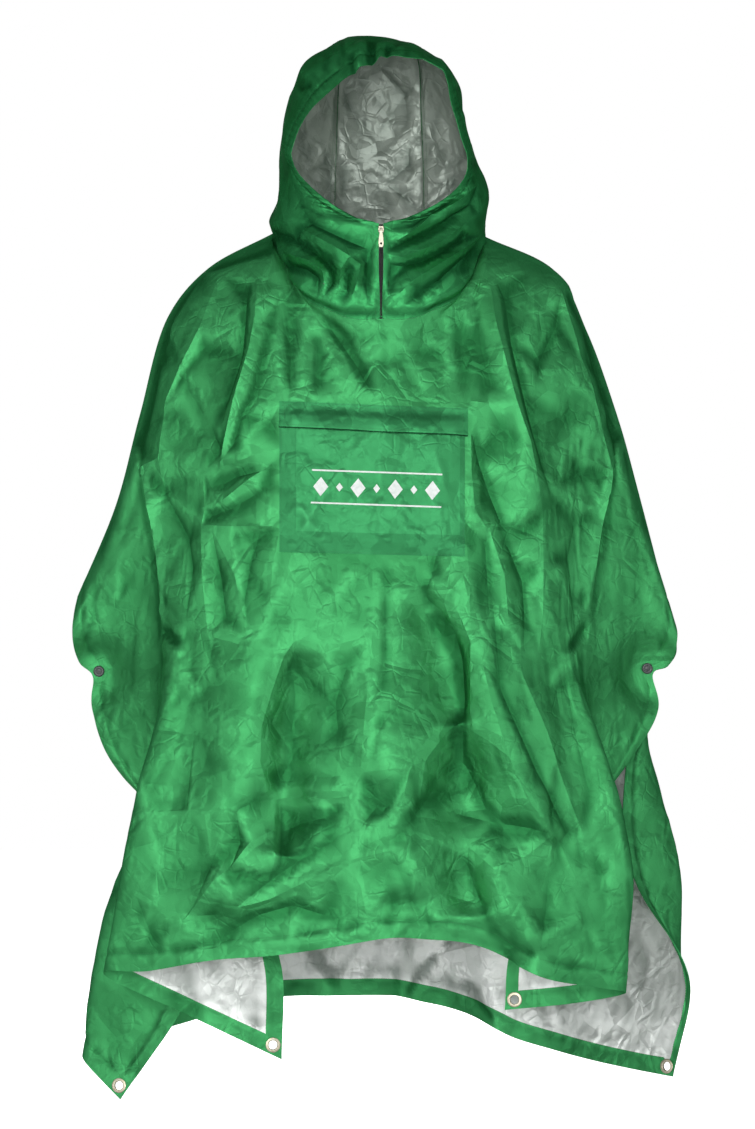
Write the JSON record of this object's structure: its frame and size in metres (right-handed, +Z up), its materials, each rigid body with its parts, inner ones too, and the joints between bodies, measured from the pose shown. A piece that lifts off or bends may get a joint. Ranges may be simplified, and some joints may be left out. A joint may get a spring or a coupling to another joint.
{
  "type": "hooded rain poncho",
  "caption": "Hooded rain poncho of green coated nylon, hanging as worn: front and back panels snapped at the sides, short neck zip, chest pocket with a flap.",
  "frame": {"origin": "between the shoulders at the base of the neck, where the wearer holds the poncho up", "axes": "+Z up, towards the hood; the front faces -Y; +X towards the wearer's left hand"},
  "size_m": [0.8346, 0.3815, 1.4359],
  "materials": {
    "green_nylon": "smooth coated nylon, green outside, silver coating inside",
    "zip_black": "black coil",
    "pull_metal": "pale nickel",
    "eyelet_brass": "pale, worn",
    "snap_grey": "satin"
  },
  "bodies": {
    "garment": {"front_panel": "green_nylon", "back_panel": "green_nylon", "hood_side_right": "green_nylon", "hood_side_left": "green_nylon", "hood_crown": "green_nylon", "zip_chain": "zip_black", "zip_slider": "pull_metal", "pocket": "green_nylon", "pocket_flap": "green_nylon", "eyelet_front_right": "eyelet_brass", "eyelet_front_left": "eyelet_brass", "eyelet_back_right": "eyelet_brass", "eyelet_back_left": "eyelet_brass", "snap_cap_right": "snap_grey", "snap_cap_left": "snap_grey", "snap_post_right": "snap_grey", "snap_post_left": "snap_grey", "snap_stud_right": "snap_grey", "snap_stud_left": "snap_grey"},
    "zip_pull": {"zip_pull": "pull_metal"}
  },
  "joints": [
    {"name": "zip_pull_swing", "type": "hinge", "parent": "garment", "child": "zip_pull", "pos_m": [0, -0.12974, 0.01623], "axis": [-1, 0, 0], "range_deg": [0, 165]}
  ]
}
